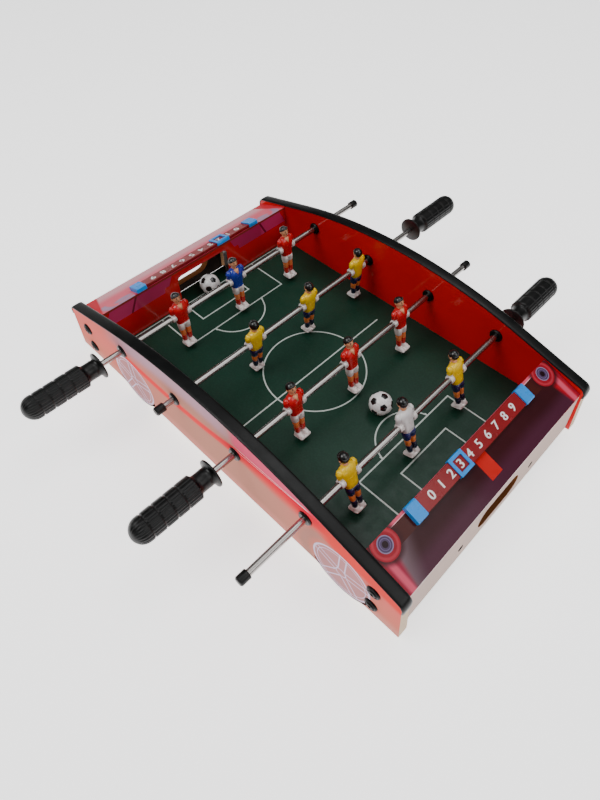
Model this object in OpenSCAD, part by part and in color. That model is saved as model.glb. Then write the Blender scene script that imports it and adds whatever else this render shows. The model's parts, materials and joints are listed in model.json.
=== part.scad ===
// Tabletop foosball game: a low box with arched side panels, a printed playing field,
// two goals with sloped score decks, and four player rods that slide and turn.
// Millimetres. +X runs along the table, +Y across it (along the rods), +Z up.
// The origin is at the middle of the table, on the surface that the four feet stand on.

/* [Side panels] */
// Overall length of the table, over the edge trims
table_len = 510; // [490:5:540]
// Overall width over the outer faces of the two side panels
table_w = 320; // [310:2:340]
// Thickness of the side panels
panel_t = 12; // [10:1:15]
// Height of the arched edge at the middle of a panel, over its trim
peak_z = 124.5; // [118:0.5:130]
// Radius of the arch in the panel's upper edge
arch_r = 650; // [600:10:700]
// Slope of the straight flanks at both ends of the arch, in degrees
flank_deg = 15; // [14:0.5:16]
// Radius of the panel's upper corners, over the trim
corner_r = 10; // [8:1:12]
// Height of the panel's straight lower edge above the ground
skirt_z = 12; // [10:1:14]
// How far a panel's lower corners stand out past the edge under the trim
panel_flare = 4.5; // [1:0.5:6]

/* [Wheel-shaped feet] */
// Radius of the wheel outline that makes a foot
wheel_r = 37; // [34:1:40]
// Distance from the middle of the table to the front wheel
front_wheel_x = 187; // [180:1:192]
// Distance from the middle of the table to the rear wheel
rear_wheel_x = 137; // [125:1:150]
// How far the wheel is flattened where it stands on the ground
foot_flat = 0.2; // [0.1:0.1:0.4]

/* [Edge trim] */
// Thickness of the trim over the panel's edge
trim_t = 2.2; // [1.6:0.2:3]
// Overhang of the trim past each face of the panel
trim_lip = 0.7; // [0.4:0.1:1]
// Depth of the trim's tongue in the panel's edge
tongue_d = 6; // [4:0.5:7]

/* [Playing field and ends] */
// Height of the playing surface
field_z = 33; // [32:0.5:35]
// Thickness of the playing field board
field_t = 3; // [3:0.5:4]
// Distance from the middle of the table to the inner face of a goal wall
wall_x = 201; // [199:0.5:203]
// Thickness of the goal walls and of the outer end boards
board_t = 9; // [8:0.5:10]
// Distance from the middle of the table to the lower edge of a sloped deck
end_x = 250; // [248:0.5:251]
// Height of the sloped deck's upper edge
deck_top_z = 90; // [88:0.5:91]
// Height of the sloped deck's lower edge
deck_low_z = 72; // [70:0.5:74]
// Thickness of the sloped deck
deck_t = 3; // [2:0.5:4]
// Height of the lower edge of an outer end board
board_low_z = 12; // [12:0.5:18]
// How far the lower edge of an outer end board stands out past its upper edge
board_flare = 3; // [1:0.5:4]
// Width of a goal mouth
goal_w = 80; // [70:1:84]
// Height of a goal mouth above the field
goal_h = 45.5; // [36:0.5:47]
// Radius of a goal mouth's upper corners
goal_r = 6; // [3:1:10]
// Height of the lower edge of the ball hole in an outer end board
hatch_low_z = 25; // [22:1:33]
// Width of the ball hole in an outer end board
hatch_w = 70; // [60:1:76]
// Height of the ball hole in an outer end board
hatch_h = 30; // [28:1:32]

/* [Rods] */
// Height of the rods' axes
rod_z = 84; // [83:0.5:85]
// Distance between two neighbouring rods
rod_gap = 95; // [94:0.5:97]
// Outer radius of the tubular rods
rod_r = 3.5; // [3:0.1:4]
// Wall thickness of the tubular rods
rod_wall = 0.8; // [0.6:0.1:1]
// Length of a rod between its handle's flange and the end of its cap
rod_len = 419; // [415:1:424]
// Distance between two players on a rod
player_gap = 86; // [84:0.5:87]
// How far the players' middle lies nearer to the handle than the middle of the rod
player_shift = 14; // [10:0.5:16]

/* [Handles, caps and bushings] */
// Length of a handle
handle_len = 91; // [80:1:94]
// Radius of a handle's barrel
handle_r = 13.5; // [12:0.5:14.5]
// Radius of a handle's flange
flange_r = 15.5; // [14.5:0.5:17]
// Radius of a rod's end cap
cap_r = 5; // [4.6:0.1:6]
// Length of a rod's end cap
cap_len = 11; // [9:0.5:13]
// Running clearance on the radius between a rod and its bushings and cap
running_gap = 0.05; // [0.03:0.01:0.1]
// Radius of the bushings' flanges
bush_flange_r = 7.8; // [7:0.2:9]
// Radius of the bushings' barrels
bush_r = 5; // [4.5:0.25:5.5]

/* [Players and balls] */
// Distance from the rod's axis down to the soles of the players' shoes
sole_drop = 44.5; // [42:0.5:45]
// Height of the middle of a player's head above the rod's axis
head_rise = 24.5; // [23:0.5:25.5]
// Radius of a player's head
head_r = 6.3; // [5.5:0.1:6.5]
// Radius of the balls
ball_r = 13.5; // [13:0.25:13.5]

/* [Score counters] */
// Distance between two score positions
score_step = 15; // [14:0.5:15]
// Width of a score rail down the slope
rail_w = 17; // [16:0.5:18]
// Height of a score rail above the deck
rail_h = 4.2; // [3.8:0.2:4.6]
// Number shown by the counter at the +X end
score_right = 3; // [0:1:9]
// Number shown by the counter at the -X end
score_left = 2; // [0:1:9]

/* [Hidden] */
$fn = 64;
eps = 0.01;
half_len = table_len / 2;
half_w = table_w / 2;
inner_y = half_w - panel_t;

// Arch of the side panels, over the trim
arch_z = peak_z - arch_r;
flank_x = arch_r * sin(flank_deg);
flank_z = arch_z + arch_r * cos(flank_deg);
corner_x = half_len - corner_r;
corner_z = flank_z - (corner_x - flank_x) * tan(flank_deg) - corner_r / cos(flank_deg);
arch_steps = 48;
corner_steps = 8;
tongue_t = 1.6;
trim_low_z = corner_z - 4;

// Wheel feet and the blends beside them
wheel_z = wheel_r - foot_flat;
blend_r = 10;
blend_z = skirt_z - blend_r;
blend_x = sqrt(pow(wheel_r + blend_r, 2) - pow(wheel_z - blend_z, 2));
blend_deg = atan(blend_x / (wheel_z - blend_z));
flat_deg = acos(wheel_z / wheel_r);
blend_steps = 5;
wheel_steps = 14;

// Sloped decks
deck_slope = (deck_top_z - deck_low_z) / (end_x - wall_x);
deck_deg = atan(deck_slope);
board_deg = atan(board_flare / (deck_low_z - board_low_z));
function board_face(z) = end_x + (deck_low_z - z) * tan(board_deg);
function board_back(z) = board_face(z) - board_t;
function under_deck(x) = deck_top_z - deck_t / cos(deck_deg) - (x - wall_x) * deck_slope;

// Corner blocks, panel bolts and end screws
block_x = [212, 236];
block_z = [16, 70];
block_w = 20;
bolt_x = 224;
bolt_z = [30, 60];
bolt_r = 3;
bolt_len = 28;
washer_r = 7.5;
washer_t = 1;
head_bolt_r = 4.2;
hex_floor = 1.6;
groove_d = 3;
field_x = wall_x + board_t;
tongue_x = 223;
side_y = [58.5, 67.5];
side_z = [16, 70];
screw_y = 63;
screw_z = 33;
screw_head_r = 4;
screw_head_t = 3;
screw_r = 1.6;
screw_len = 22;
slot_len = 5.2;

// Rods: [place along X, side of the handle, rest place of the rod's middle, facing, lean]
rods = [
    [-1.5 * rod_gap, -1, 21, 1, -6],
    [-0.5 * rod_gap, 1, 25, -1, 0],
    [0.5 * rod_gap, -1, 21, 1, -11],
    [1.5 * rod_gap, 1, -30, -1, -20]];
pin_r = 1;
rod_in_handle = 58;
cap_floor = 2;
cap_play = 0.3;
collar_t = 2.7;
bush_flange_t = 2.5;

// Balls: one in the lane beside the third rod, one in the mouth of the -X goal
ball_lift = 0.3;
lane_ball = [94.5, 6.7];
goal_ball = [-194, 1];

// Score counters, in a deck's own axes: +X down the slope, +Z out of the deck
rail_x = 0.2;
rail_half = 86;
rail_foot = 2;
rail_neck = 2;
marker_gap = 0.3;
marker_wall = 1.3;
marker_half = 10;
marker_top = 1.5;
window = 13;

// ---- shared placement ----

// Both sides along X
module both_x() {
    for (s = [0, 180]) rotate([0, 0, s]) children();
}

// The four corners, each a mirror image of its neighbours
module four_corners() {
    for (sx = [0, 1], sy = [0, 1]) mirror([sx, 0, 0]) mirror([0, sy, 0]) children();
}

// Drawn in XZ and given a depth along +Y from y
module slab(y, depth) {
    translate([0, y + depth, 0]) rotate([90, 0, 0]) linear_extrude(depth) children();
}

// A turned shape about the Y axis: the profile's x is the radius and its y runs along +Y
module turned() {
    rotate([-90, 0, 0]) mirror([0, 1, 0]) rotate_extrude() children();
}

// Onto the sloped deck of one end
module on_deck(turn) {
    rotate([0, 0, turn]) translate([wall_x, 0, deck_top_z]) rotate([0, deck_deg, 0]) children();
}

// ---- side panels ----

// Upper edge of a panel from the +X end to the -X end; g moves it outwards
function arc_points(cx, cz, r, from, to, steps) =
    [for (i = [0:steps]) let (a = from + (to - from) * i / steps) [cx + r * sin(a), cz + r * cos(a)]];

function upper_edge(g) = concat(
    arc_points(corner_x, corner_z, corner_r + g, 90, flank_deg, corner_steps),
    arc_points(0, arch_z, arch_r + g, flank_deg, -flank_deg, arch_steps),
    arc_points(-corner_x, corner_z, corner_r + g, -flank_deg, -90, corner_steps));

// Lower edge round one foot, from -X to +X
function foot_edge(x) = concat(
    arc_points(x - blend_x, blend_z, blend_r, 0, blend_deg, blend_steps),
    arc_points(x, wheel_z, wheel_r, 180 + blend_deg, 180 + flat_deg, wheel_steps),
    arc_points(x, wheel_z, wheel_r, 180 - flat_deg, 180 - blend_deg, wheel_steps),
    arc_points(x + blend_x, blend_z, blend_r, -blend_deg, 0, blend_steps));

module panel_outline() {
    e = half_len - trim_t;
    low_e = e + panel_flare;
    polygon(concat(upper_edge(-trim_t), [[-e, trim_low_z], [-low_e, skirt_z]],
        foot_edge(-rear_wheel_x), foot_edge(front_wheel_x), [[low_e, skirt_z], [e, trim_low_z]]));
}

// The panel at the -Y side, with its outer face at -half_w
module panel_board() {
    difference() {
        slab(-half_w, panel_t) panel_outline();
        // groove for the trim's tongue
        slab(-half_w + (panel_t - tongue_t) / 2, tongue_t) difference() {
            polygon(concat(upper_edge(eps), [[-half_len, 0], [half_len, 0]]));
            polygon(concat(upper_edge(-trim_t - tongue_d), [[-half_len, 0], [half_len, 0]]));
            translate([-half_len - 1, 0]) square([table_len + 2, corner_z]);
        }
        // groove for the playing field
        translate([-field_x, -inner_y - groove_d, field_z - field_t])
            cube([2 * field_x, groove_d + 1, field_t]);
        for (rod = rods) translate([rod[0], 0, rod_z])
            rotate([90, 0, 0]) cylinder(r = bush_r, h = half_w + 1);
        for (x = [-bolt_x, bolt_x], z = bolt_z) translate([x, 0, z])
            rotate([90, 0, 0]) cylinder(r = bolt_r, h = half_w + 1);
    }
}

// The two panels are the same board, turned round
module side_panel_near() { color("#e8a8a0") panel_board(); }
module side_panel_far() { color("#e8a8a0") rotate([0, 0, 180]) panel_board(); }

module trim_band(inner, outer) {
    difference() {
        polygon(concat(upper_edge(outer), [[-half_len, trim_low_z], [half_len, trim_low_z]]));
        polygon(concat(upper_edge(inner), [
            [-half_len - inner, trim_low_z - 1], [half_len + inner, trim_low_z - 1]]));
    }
}

module trim_strip() {
    slab(-half_w - trim_lip, panel_t + 2 * trim_lip) trim_band(-trim_t, 0);
    slab(-half_w + (panel_t - tongue_t) / 2, tongue_t) difference() {
        polygon(concat(upper_edge(-trim_t + eps), [[-half_len, 0], [half_len, 0]]));
        polygon(concat(upper_edge(-trim_t - tongue_d), [[-half_len, 0], [half_len, 0]]));
        translate([-half_len - 1, 0]) square([table_len + 2, corner_z]);
    }
}

module edge_trim_near() { color("#1d1f20") trim_strip(); }
module edge_trim_far() { color("#1d1f20") rotate([0, 0, 180]) trim_strip(); }

// ---- field, goal walls, decks and end boards ----

module playing_field() {
    color("#16392c") translate([0, 0, field_z - field_t]) linear_extrude(field_t) {
        square([2 * field_x, 2 * (inner_y + groove_d)], center = true);
        square([2 * tongue_x, 2 * side_y[0]], center = true);
    }
}

module goal_outline() {
    in_y = goal_w / 2 - goal_r;
    translate([-goal_w / 2, -1]) square([goal_w, goal_h - goal_r + 1]);
    translate([-in_y, -1]) square([2 * in_y, goal_h + 1]);
    for (s = [-1, 1]) translate([s * in_y, goal_h - goal_r]) circle(goal_r);
}

module goal_wall(turn) {
    rotate([0, 0, turn]) difference() {
        slab(-inner_y, 2 * inner_y) polygon([
            [wall_x, field_z], [wall_x + board_t, field_z],
            [wall_x + board_t, under_deck(wall_x + board_t)], [wall_x, under_deck(wall_x)]]);
        translate([wall_x - 1, 0, field_z]) rotate([90, 0, 90])
            linear_extrude(board_t + 2) goal_outline();
    }
}

module goal_wall_left() { color("#a80f16") goal_wall(180); }
module goal_wall_right() { color("#a80f16") goal_wall(0); }

module score_deck(turn) {
    rotate([0, 0, turn]) slab(-inner_y, 2 * inner_y) polygon([
        [wall_x, deck_top_z], [end_x, deck_low_z],
        [end_x, under_deck(end_x)], [wall_x, under_deck(wall_x)]]);
}

module score_deck_left() { color("#e07a86") score_deck(180); }
module score_deck_right() { color("#4a2730") score_deck(0); }

module hatch_outline() {
    square([hatch_w - hatch_h, hatch_h], center = true);
    for (s = [-1, 1]) translate([s * (hatch_w - hatch_h) / 2, 0]) circle(hatch_h / 2);
}

// The screws of one end, each square to the sloped face of the end board
module end_screw_places() {
    for (side = [-1, 1]) translate([board_face(screw_z), side * screw_y, screw_z])
        rotate([0, 90 - board_deg, 0]) children();
}

module end_board(turn) {
    in_x = end_x - board_t;
    rotate([0, 0, turn]) difference() {
        slab(-inner_y, 2 * inner_y) polygon([
            [board_back(board_low_z), board_low_z], [board_face(board_low_z), board_low_z],
            [end_x, under_deck(end_x)], [in_x, under_deck(in_x)]]);
        translate([in_x - 1, 0, hatch_low_z + hatch_h / 2]) rotate([90, 0, 90])
            linear_extrude(board_t + board_flare + 2) hatch_outline();
        end_screw_places() screw_body();
    }
}

module end_board_left() { color("#e6d6cf") end_board(180); }
module end_board_right() { color("#e6d6cf") end_board(0); }

module corner_blocks() {
    color("#b98d62") four_corners() difference() {
        translate([block_x[0], inner_y - block_w, block_z[0]])
            cube([block_x[1] - block_x[0], block_w, block_z[1] - block_z[0]]);
        for (z = bolt_z) translate([bolt_x, half_w, z])
            rotate([90, 0, 0]) cylinder(r = bolt_r, h = bolt_len);
    }
}

module pocket_sides(turn) {
    rotate([0, 0, turn]) difference() {
        for (s = [0, 1]) mirror([0, s, 0]) slab(side_y[0], side_y[1] - side_y[0]) polygon([
            [field_x, side_z[0]], [board_back(side_z[0]), side_z[0]],
            [board_back(side_z[1]), side_z[1]], [field_x, side_z[1]]]);
        end_screw_places() screw_body();
    }
}

module pocket_sides_left() { color("#8a6a4a") pocket_sides(180); }
module pocket_sides_right() { color("#8a6a4a") pocket_sides(0); }

// ---- fasteners ----

// A countersunk wood screw with its head's face at z = 0 and its point towards -z
module screw_body() {
    translate([0, 0, -screw_head_t]) cylinder(r1 = screw_r, r2 = screw_head_r, h = screw_head_t);
    translate([0, 0, -screw_len]) cylinder(r = screw_r, h = screw_len - screw_head_t + 0.5);
}

module end_screws() {
    color("#202020") both_x() end_screw_places() difference() {
        screw_body();
        for (a = [0, 90]) rotate([0, 0, a]) translate([-slot_len / 2, -0.5, -1.2])
            cube([slot_len, 1, 2]);
    }
}

module cup_washers() {
    color("#1a1a1a") four_corners() for (z = bolt_z) translate([bolt_x, half_w, z])
        turned() polygon([
            [bolt_r, 0], [washer_r, 0], [washer_r, 0.8], [washer_r - 0.6, 1.8],
            [washer_r - 1.6, 2.3], [washer_r - 2.6, 1.8], [washer_r - 3.1, washer_t],
            [bolt_r, washer_t]]);
}

module panel_bolts() {
    color("#2a2a2c") four_corners() for (z = bolt_z) translate([bolt_x, half_w, z])
        difference() {
            union() {
                rotate([90, 0, 0]) cylinder(r = bolt_r, h = bolt_len);
                turned() polygon([
                    [0, -eps], [bolt_r, -eps], [bolt_r, washer_t], [head_bolt_r, washer_t],
                    [head_bolt_r, 2.2], [head_bolt_r - 0.8, 3], [0, 3.3]]);
            }
            translate([0, hex_floor, 0]) rotate([-90, 30, 0]) cylinder(r = 2, h = 3, $fn = 6);
        }
}

// ---- rods and what rides on them ----

// Sets a rod's own axes: the rod's middle at the origin and its handle towards -Y
module on_rod(i) {
    translate([rods[i][0], rods[i][2], rod_z])
        rotate([0, 0, rods[i][1] < 0 ? 0 : 180]) children();
}

module rod_tube(i) {
    flange = -rod_len / 2;
    color("#c9ccd0") on_rod(i) difference() {
        translate([0, flange - rod_in_handle, 0]) rotate([-90, 0, 0])
            cylinder(r = rod_r, h = rod_in_handle + rod_len - cap_floor - cap_play);
        translate([0, flange - rod_in_handle - 1, 0]) rotate([-90, 0, 0])
            cylinder(r = rod_r - rod_wall, h = rod_in_handle + rod_len + 2);
        for (k = [-1:1]) translate([0, k * player_gap - player_shift, 0])
            rotate([0, lean(i) + 90, 0]) cylinder(r = pin_r, h = 4 * rod_r, center = true);
    }
}

// The lean of rod i in its own axes, which are turned round when the handle is at +Y
function lean(i) = rods[i][4] * (rods[i][1] < 0 ? 1 : -1);

module rod_1() { rod_tube(0); }
module rod_2() { rod_tube(1); }
module rod_3() { rod_tube(2); }
module rod_4() { rod_tube(3); }

// Half section of a handle: y runs from the flange's face to the domed end
neck_r = 10;
neck_start = 5;
neck_end = 19;
shoulder = 4;
flange_t = 2.2;
flange_edge = 0.6;
dome = 13;
dome_steps = 12;
groove_w = 1.2;
groove_deep = 0.9;
groove_pitch = 12.7;
groove_count = 4;
module handle_section() {
    difference() {
        polygon(concat(
            [[0, 0], [flange_r - flange_edge, 0], [flange_r, flange_edge],
             [flange_r, flange_t - flange_edge], [flange_r - flange_edge, flange_t],
             [neck_r + 1, flange_t + 1], [neck_r, neck_start], [neck_r, neck_end - 2],
             [neck_r + 0.4, neck_end], [handle_r - 0.8, neck_end + shoulder - 1],
             [handle_r, neck_end + shoulder]],
            [for (i = [0:dome_steps]) let (a = 90 * i / dome_steps)
                [handle_r * cos(a), handle_len - dome + dome * sin(a)]]));
        for (k = [1:groove_count])
            translate([handle_r - groove_deep, neck_end + 2 + k * groove_pitch])
                square([groove_deep + 1, groove_w]);
        translate([-eps, -1]) square([rod_r + eps, rod_in_handle + 1]);
    }
}

module handle(i) {
    color("#161616") on_rod(i) translate([0, -rod_len / 2, 0]) mirror([0, 1, 0])
        turned() handle_section();
}

module handle_1() { handle(0); }
module handle_2() { handle(1); }
module handle_3() { handle(2); }
module handle_4() { handle(3); }

module rod_cap(i) {
    color("#1b1b1b") on_rod(i) translate([0, rod_len / 2 - cap_len, 0]) turned() polygon([
        [rod_r + running_gap, 0], [cap_r - 0.4, 0], [cap_r, 0.4], [cap_r, cap_len - 1.2],
        [cap_r - 1.2, cap_len], [0, cap_len], [0, cap_len - cap_floor],
        [rod_r + running_gap, cap_len - cap_floor]]);
}

module rod_cap_1() { rod_cap(0); }
module rod_cap_2() { rod_cap(1); }
module rod_cap_3() { rod_cap(2); }
module rod_cap_4() { rod_cap(3); }

// A flanged bushing in the +Y panel: its barrel passes through and takes a collar inside
module bushing() {
    bore = rod_r + running_gap;
    turned() polygon([
        [bore, inner_y - collar_t], [bush_r, inner_y - collar_t], [bush_r, half_w],
        [bush_flange_r, half_w], [bush_flange_r, half_w + 1.2],
        [bush_flange_r - 1.2, half_w + bush_flange_t], [bore, half_w + bush_flange_t]]);
}

module bushing_pair(i) {
    color("#141414") translate([rods[i][0], 0, rod_z])
        for (s = [0, 1]) mirror([0, s, 0]) bushing();
}

module bushings_1() { bushing_pair(0); }
module bushings_2() { bushing_pair(1); }
module bushings_3() { bushing_pair(2); }
module bushings_4() { bushing_pair(3); }

module bushing_collars() {
    color("#141414") for (rod = rods, s = [0, 1]) translate([rod[0], 0, rod_z])
        mirror([0, s, 0]) turned() polygon([
            [bush_r, inner_y - collar_t], [bush_flange_r - 1.2, inner_y - collar_t],
            [bush_flange_r, inner_y - collar_t + 1.2], [bush_flange_r, inner_y],
            [bush_r, inner_y]]);
}

// ---- players ----

hip_drop = 12;
hem_drop = 20;
shoe_top = 39;
shoe_back = -5;
shoe_toe = 8.5;
shoe_half = 7.3;
leg_y = 3.7;
hand_half = 13.5;
chest_half = 12;
neck_top = 20;

// A player round the rod's axis, facing +X
module player_figure() {
    difference() {
        union() {
            // arms and hands along the rod
            rotate([90, 0, 0]) cylinder(r = 5, h = 2 * hand_half, center = true);
            // shirt: the front outline cut by the side outline
            intersection() {
                translate([-7, 0, 0]) rotate([90, 0, 90]) linear_extrude(14) polygon([
                    [-7.5, -hip_drop], [7.5, -hip_drop], [8.5, 0], [chest_half, 3], [chest_half, 8],
                    [9.5, 13], [4, 16.5], [-4, 16.5], [-9.5, 13], [-chest_half, 8],
                    [-chest_half, 3], [-8.5, 0]]);
                slab(-15, 30) polygon([
                    [-5.2, -hip_drop], [5.2, -hip_drop], [5.8, 0], [6.6, 7], [5.4, 13], [3.6, 16.5],
                    [-3.6, 16.5], [-6, 12], [-6.6, 6], [-5.6, 0]]);
            }
            // shorts
            translate([-5.4, -7.8, -hem_drop]) cube([10.8, 15.6, hem_drop - hip_drop + 1]);
            for (s = [-1, 1]) translate([0, s * leg_y, -shoe_top - 1])
                cylinder(r1 = 3, r2 = 3.5, h = shoe_top - hem_drop + 2);
            // shoes on one base
            slab(-shoe_half, 2 * shoe_half) polygon([
                [shoe_back, -sole_drop], [shoe_toe, -sole_drop], [shoe_toe, -sole_drop + 2.5],
                [3.5, -shoe_top], [shoe_back, -shoe_top]]);
            translate([0, 0, 14]) cylinder(r = 3.2, h = neck_top - 14);
            translate([0, 0, head_rise]) sphere(head_r);
        }
        rotate([90, 0, 0]) cylinder(r = rod_r, h = 4 * hand_half, center = true);
        rotate([0, 90, 0]) cylinder(r = pin_r, h = 30, center = true);
    }
}

// Player k of rod i: k is -1, 0 or 1 along +Y
module player(i, k, shirt) {
    side = rods[i][1];
    color(shirt) translate([rods[i][0], rods[i][2] + side * player_shift + k * player_gap, rod_z])
        rotate([0, rods[i][4], 0]) rotate([0, 0, rods[i][3] > 0 ? 0 : 180]) player_figure();
}

module player_1a() { player(0, -1, "#d8161c"); }
module player_1b() { player(0, 0, "#2338b0"); }
module player_1c() { player(0, 1, "#d8161c"); }
module player_2a() { player(1, -1, "#f0b90c"); }
module player_2b() { player(1, 0, "#f0b90c"); }
module player_2c() { player(1, 1, "#f0b90c"); }
module player_3a() { player(2, -1, "#d8161c"); }
module player_3b() { player(2, 0, "#d8161c"); }
module player_3c() { player(2, 1, "#d8161c"); }
module player_4a() { player(3, -1, "#f0b90c"); }
module player_4b() { player(3, 0, "#f2f0f0"); }
module player_4c() { player(3, 1, "#f0b90c"); }

// The cross pins that hold the three players of a rod
module player_pins(i) {
    color("#8d8f92") on_rod(i) for (k = [-1:1]) translate([0, k * player_gap - player_shift, 0])
        rotate([0, lean(i) + 90, 0]) cylinder(r = pin_r, h = 10.8, center = true);
}

module player_pins_1() { player_pins(0); }
module player_pins_2() { player_pins(1); }
module player_pins_3() { player_pins(2); }
module player_pins_4() { player_pins(3); }

// ---- balls ----

module ball(place) {
    color("#f4f4f2") translate([place[0], place[1], field_z + ball_r + ball_lift]) sphere(ball_r);
}

module ball_lane() { ball(lane_ball); }
module ball_goal() { ball(goal_ball); }

// ---- score counters ----

// Section of a rail across the deck: a neck on a flat plate's underside
module rail_section(grow) {
    translate([rail_x + rail_foot, -eps]) square([rail_w - 2 * rail_foot, rail_neck + 2 * eps]);
    translate([rail_x - grow, rail_neck - grow])
        square([rail_w + 2 * grow, rail_h - rail_neck + 2 * grow]);
}

module score_rail(turn) {
    on_deck(turn) difference() {
        slab(-rail_half, 2 * rail_half) rail_section(0);
        translate([0, -rail_half - 1, -1]) cube([rail_w + 2, 2 * rail_half + 2, 1]);
    }
}

module score_rail_left() { color("#c01820") score_rail(180); }
module score_rail_right() { color("#c01820") score_rail(0); }

module rail_caps(turn) {
    on_deck(turn) for (s = [0, 1]) mirror([0, s, 0]) difference() {
        slab(rail_half - 3, 14) polygon([
            [rail_x - 1, 0], [rail_x + rail_w + 1, 0], [rail_x + rail_w + 1, rail_h + 0.6],
            [rail_x + rail_w - 0.4, rail_h + 2], [rail_x + 0.4, rail_h + 2],
            [rail_x - 1, rail_h + 0.6]]);
        slab(0, rail_half) rail_section(0);
    }
}

module rail_caps_left() { color("#2f9ae0") rail_caps(180); }
module rail_caps_right() { color("#2f9ae0") rail_caps(0); }

module score_marker(turn, score) {
    outer = marker_gap + marker_wall;
    low = rail_neck - marker_gap - 1;
    on_deck(turn) translate([0, (score - 4.5) * score_step, 0]) difference() {
        slab(-marker_half, 2 * marker_half) difference() {
            translate([rail_x - outer, low])
                square([rail_w + 2 * outer, rail_h - low + marker_gap + marker_top]);
            rail_section(marker_gap);
            translate([rail_x + rail_foot - marker_gap - 0.2, -1])
                square([rail_w - 2 * rail_foot + 2 * marker_gap + 0.4, rail_neck + 1]);
        }
        translate([rail_x + (rail_w - window) / 2, -window / 2, 0]) cube([window, window, 20]);
    }
}

module score_marker_left() { color("#2f9ae0") score_marker(180, score_left); }
module score_marker_right() { color("#2f9ae0") score_marker(0, score_right); }

side_panel_near();
side_panel_far();
edge_trim_near();
edge_trim_far();
playing_field();
goal_wall_left();
goal_wall_right();
score_deck_left();
score_deck_right();
end_board_left();
end_board_right();
corner_blocks();
pocket_sides_left();
pocket_sides_right();
score_rail_left();
score_rail_right();
rail_caps_left();
rail_caps_right();
score_marker_left();
score_marker_right();
bushings_1();
bushings_2();
bushings_3();
bushings_4();
bushing_collars();
rod_1();
rod_2();
rod_3();
rod_4();
handle_1();
handle_2();
handle_3();
handle_4();
rod_cap_1();
rod_cap_2();
rod_cap_3();
rod_cap_4();
player_1a();
player_1b();
player_1c();
player_2a();
player_2b();
player_2c();
player_3a();
player_3b();
player_3c();
player_4a();
player_4b();
player_4c();
player_pins_1();
player_pins_2();
player_pins_3();
player_pins_4();
ball_lane();
ball_goal();
panel_bolts();
cup_washers();
end_screws();
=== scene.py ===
import json
import math
import bpy
import bmesh
from mathutils import Matrix, Vector


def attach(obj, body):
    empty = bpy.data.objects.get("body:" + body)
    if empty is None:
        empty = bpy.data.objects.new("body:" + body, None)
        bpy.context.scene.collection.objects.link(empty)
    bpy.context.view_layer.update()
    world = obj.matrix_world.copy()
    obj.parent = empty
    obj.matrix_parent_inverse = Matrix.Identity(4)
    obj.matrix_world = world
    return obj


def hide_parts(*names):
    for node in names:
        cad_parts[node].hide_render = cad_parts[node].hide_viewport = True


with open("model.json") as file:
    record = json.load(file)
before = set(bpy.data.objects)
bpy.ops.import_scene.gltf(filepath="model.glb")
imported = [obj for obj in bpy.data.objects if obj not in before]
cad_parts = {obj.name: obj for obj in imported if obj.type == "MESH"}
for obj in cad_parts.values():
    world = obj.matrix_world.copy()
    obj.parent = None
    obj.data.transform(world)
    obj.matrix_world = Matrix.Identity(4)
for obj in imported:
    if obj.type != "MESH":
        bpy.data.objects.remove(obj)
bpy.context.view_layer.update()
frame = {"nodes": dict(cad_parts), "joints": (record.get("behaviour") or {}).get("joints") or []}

MM = 0.001
NODES = frame["nodes"]
JOINTS = {j["name"]: j for j in frame["joints"]}

# the table's own measures, in millimetres
DECK_EDGE_X, DECK_EDGE_Z = 201.0, 90.0          # inner upper edge of a score deck
DECK_TILT = math.atan(18.0 / 49.0)
LAMP_Y, LAMP_U = 131.0, 9.0                     # centres of the printed lamps on the near deck
WHEELS_X, WHEEL_Z = (187.0, -137.0), 36.8       # centres of the wheel-shaped feet
PANEL_OUT_Y, PANEL_IN_Y = 159.9, 148.1          # just inside the two faces of a side panel
GOAL_WALL_FACE_X = 201.2
BALL_HOLE_Z, BALL_HOLE_R, BALL_HOLE_HALF = 40.0, 15.2, 20.0
ROD_X, ROD_Z = (-142.5, -47.5, 47.5, 142.5), 84.0
PLAYER_GAP = 86.0

# ---------------------------------------------------------------- camera and light

YAW, PITCH, ROLL = math.radians(44.36), math.radians(49.29), math.radians(-0.28)
CAMERA_PLACE = (0.3096, -0.32265, 0.57079)      # metres
LENS, SENSOR = 26.416, 36
SHIFT = (-0.01406, -0.0509)

# brightness of the sky from straight down (0) to straight up (1)
SKY = [(0.0, 0.7), (0.46, 0.8), (0.52, 0.25), (0.62, 0.1), (0.8, 0.12), (0.92, 0.6), (1.0, 0.9)]
SKY_STRENGTH = 0.8
# name, place in metres, size in metres, watts
LAMPS = (("key", (-0.5, -0.9, 1.5), 0.9, 14), ("fill", (1.3, 0.3, 1.2), 1.2, 9),
         ("top", (0.0, 0.6, 1.7), 1.0, 8))
FLOOR_GLOW, FLOOR_DROP, FLOOR_HALF = 1.5, 0.0005, 6


def make_camera():
    back = Vector((math.sin(YAW) * math.cos(PITCH), -math.cos(YAW) * math.cos(PITCH),
                   math.sin(PITCH)))
    right = Vector((math.cos(YAW), math.sin(YAW), 0))
    up = back.cross(right)
    r = math.cos(ROLL) * right + math.sin(ROLL) * up
    u = -math.sin(ROLL) * right + math.cos(ROLL) * up
    data = bpy.data.cameras.new("photo_camera")
    data.sensor_width, data.lens = SENSOR, LENS
    data.shift_x, data.shift_y = SHIFT
    data.clip_start, data.clip_end = 0.01, 20
    cam = bpy.data.objects.new("photo_camera", data)
    m = Matrix((r, u, back)).transposed().to_4x4()
    m.translation = Vector(CAMERA_PLACE)
    cam.matrix_world = m
    bpy.context.scene.collection.objects.link(cam)
    bpy.context.scene.camera = cam


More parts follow.
